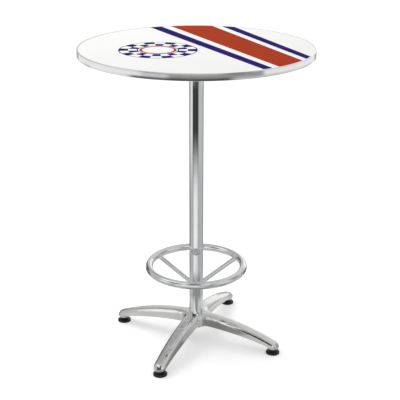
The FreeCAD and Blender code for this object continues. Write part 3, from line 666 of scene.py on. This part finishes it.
# painted reflections on the floor, seen only by metal, with painted shade near the table where the arms'
# shade falls: rings about the table, each with where it fades in, in metres, its plain grey, how soft its
# cards' ends are, and its cards as (from, to, grey), in shares of a turn, 0.5 being towards the camera and
# less to the camera's left
paintedFloorReflections = (dict(reach=(0.0, 0.01), plain=0.75, soft=0.03, cards=((0.15, 0.38, 0.65), (0.42, 0.58, 0.35))),
              dict(reach=(0.30, 0.37), plain=0.50, soft=0.02, cards=((0.34, 0.68, 0.32),)),
              dict(reach=(0.48, 0.62), plain=0.50, soft=0.02,
                   cards=((0.10, 0.19, 0.10), (0.20, 0.38, 0.45), (0.38, 0.56, 0.90), (0.83, 0.90, 0.10))),
              dict(reach=(1.3, 2.7), plain=0.60, soft=0.015,
                   cards=((0.10, 0.18, 0.05), (0.18, 0.33, 0.80), (0.33, 0.59, 0.05), (0.83, 0.90, 0.05))),
              dict(reach=(3.7, 4.5), plain=1.0, soft=0.008,
                   cards=((-0.05, 0.09, 0.45), (0.36, 0.43, 0.75), (0.43, 0.675, 0.33), (0.91, 1.05, 0.45))),
              dict(reach=(6.0, 9.0), plain=0.65, soft=0.02,
                   cards=((0.10, 0.18, 0.10), (0.36, 0.43, 0.20), (0.57, 0.64, 0.20), (0.83, 0.90, 0.10))))
# painted reflections above, seen only by metal: greys by height, dark near the horizon, then soft discs as
# painted highlights and dark patches, as (turn from the camera's right, height, half width, soft edge,
# grey), angles in degrees, 90 being behind the table and 270 towards the camera
paintedSkyGreys = ((0.0, 0.06), (0.02, 0.10), (0.05, 0.46), (0.35, 0.52), (1.0, 0.56))
paintedSkyReflections = ((275.0, 45.0, 55.0, 20.0, 0.38), (0.0, 50.0, 35.0, 12.0, 0.62), (80.0, 40.0, 34.0, 10.0, 0.66),
            (72.0, 4.0, 20.0, 6.0, 1.0), (112.0, 47.0, 22.0, 8.0, 0.42), (126.0, 10.0, 14.0, 5.0, 0.12),
            (184.0, 54.0, 18.0, 4.0, 1.0), (203.0, 3.0, 17.0, 6.0, 0.95), (332.0, 3.0, 20.0, 6.0, 0.80),
            (250.0, 10.0, 27.0, 5.0, 0.95), (213.0, 37.0, 12.0, 4.0, 0.10), (233.0, 39.0, 13.0, 4.0, 0.05),
            (257.0, 46.0, 16.0, 6.0, 0.03), (227.0, 61.0, 11.0, 2.0, 1.0), (8.0, 24.0, 13.0, 6.0, 0.30),
            (293.0, 37.0, 10.0, 3.0, 1.0), (239.0, 41.0, 6.0, 2.0, 1.0))


def shareOfReach(tree, value, low, high):
    return spread(tree, value, *wholeSpan, low, high, interpolation_type="SMOOTHSTEP")


# the floor: plain and pale to the eye, painted reflections and painted shade to the metal, clear from below
def studioFloor(look, rings):
    material = bpy.data.materials.new("studioFloor")
    material.use_nodes = True
    tree = material.node_tree
    tree.nodes.clear()
    place = objectPlace(tree, turn=-math.radians(cameraShot["heading"]))
    parts = addNode(tree, "ShaderNodeSeparateXYZ", {0: place}).outputs
    away = addNode(tree, "ShaderNodeVectorMath", {0: place}, operation="LENGTH").outputs["Value"]
    turn = calc(tree, "ARCTAN2", parts["X"], calc(tree, "MULTIPLY", parts["Y"], -1.0))
    turn = calc(tree, "MULTIPLY_ADD", turn, 1 / fullTurn, 0.5)
    # the painted reflection: grey cards on rings about the table, dark ones standing in for flags and for
    # the table's shade
    paintedReflection = plainGrey(0.0)
    for ring in rings:
        ground, soft = plainGrey(ring["plain"]), ring["soft"]
        for start, end, grey in ring["cards"]:
            on = calc(tree, "MULTIPLY", shareOfReach(tree, turn, start - soft, start + soft),
                      shareOfReach(tree, turn, end + soft, end - soft))
            ground = mixColours(tree, on, ground, plainGrey(grey))
        paintedReflection = mixColours(tree, shareOfReach(tree, away, *ring["reach"]), paintedReflection, ground)
    light = addNode(tree, "ShaderNodeLightPath").outputs
    diffuse = addNode(tree, "ShaderNodeBsdfDiffuse", {"Color": (*look["floorTone"], 1.0)})
    glowing = calc(tree, "MULTIPLY", light["Is Camera Ray"], look["cameraGlow"])
    glow = addNode(tree, "ShaderNodeEmission", {"Strength": glowing})
    lit = addNode(tree, "ShaderNodeAddShader", {0: diffuse.outputs[0], 1: glow.outputs[0]})
    # glossy rays see the painted greys instead of the plain floor, lit by the lamps
    paintedMirrorFloor = addNode(tree, "ShaderNodeBsdfDiffuse", {"Color": paintedReflection})
    upper = addNode(tree, "ShaderNodeMixShader",
                    {0: light["Is Glossy Ray"], 1: lit.outputs[0], 2: paintedMirrorFloor.outputs[0]})
    below = addNode(tree, "ShaderNodeNewGeometry").outputs["Backfacing"]
    clear = addNode(tree, "ShaderNodeBsdfTransparent")
    whole = addNode(tree, "ShaderNodeMixShader", {0: below, 1: upper.outputs[0], 2: clear.outputs[0]})
    addNode(tree, "ShaderNodeOutputMaterial", {"Surface": whole.outputs[0]})
    return material


# the sky: white to the eye, a plain soft light, painted reflections to the metal
def studioSky(look, greys, discs):
    world = bpy.data.worlds.new("studioSky")
    world.use_nodes = True
    tree = world.node_tree
    tree.nodes.clear()
    towards = addNode(tree, "ShaderNodeTexCoord").outputs["Generated"]
    height = addNode(tree, "ShaderNodeSeparateXYZ", {0: towards}).outputs["Z"]
    tone = colourRamp(tree, height, [(rise, (grey, grey, grey)) for rise, grey in greys])
    for turn, rise, half, soft, grey in discs:
        turn = math.radians(turn + cameraShot["heading"])
        rise = math.radians(rise)
        middle = (math.cos(rise) * math.cos(turn), math.cos(rise) * math.sin(turn), math.sin(rise))
        near = addNode(tree, "ShaderNodeVectorMath", {0: towards, 1: middle},
                       operation="DOT_PRODUCT").outputs["Value"]
        inside = shareOfReach(tree, near, math.cos(math.radians(half + soft)),
                              math.cos(math.radians(half - soft)))
        tone = mixColours(tree, inside, tone, plainGrey(grey))
    light = addNode(tree, "ShaderNodeLightPath").outputs
    plain = addNode(tree, "ShaderNodeBackground", {"Color": plainGrey(1.0), "Strength": look["skyLight"]})
    white = addNode(tree, "ShaderNodeBackground", {"Color": plainGrey(1.0), "Strength": 1.0})
    # glossy rays see the painted highlights and dark discs, which light nothing else
    mirrored = addNode(tree, "ShaderNodeBackground", {"Color": tone, "Strength": 1.0})
    lit = addNode(tree, "ShaderNodeMixShader",
                  {0: light["Is Glossy Ray"], 1: plain.outputs[0], 2: mirrored.outputs[0]})
    whole = addNode(tree, "ShaderNodeMixShader",
                    {0: light["Is Camera Ray"], 1: lit.outputs[0], 2: white.outputs[0]})
    addNode(tree, "ShaderNodeOutputWorld", {"Surface": whole.outputs[0]})
    return world


half = stageLook["floorHalf"]
floorMesh = bpy.data.meshes.new("studioFloor")
floorMesh.from_pydata([(-half, -half, 0), (half, -half, 0), (half, half, 0), (-half, half, 0)], [],
                      [(0, 1, 2, 3)])
floorMesh.materials.append(studioFloor(stageLook, paintedFloorReflections))
floor = bpy.data.objects.new("studioFloor", floorMesh)
scene.collection.objects.link(floor)
scene.world = studioSky(stageLook, paintedSkyGreys, paintedSkyReflections)

key = bpy.data.objects.new("softKey", bpy.data.lights.new("softKey", "AREA"))
scene.collection.objects.link(key)
key.data.size = stageLook["keySize"]
key.data.energy = stageLook["keyPower"]
key.location = stageLook["keyPlace"]
key.rotation_euler = (Vector(stageLook["keyAim"]) - key.location).to_track_quat("-Z", "Y").to_euler()
key.visible_glossy = False
scene.view_settings.view_transform = "Standard"
print("stage: floor, sky, one soft light")
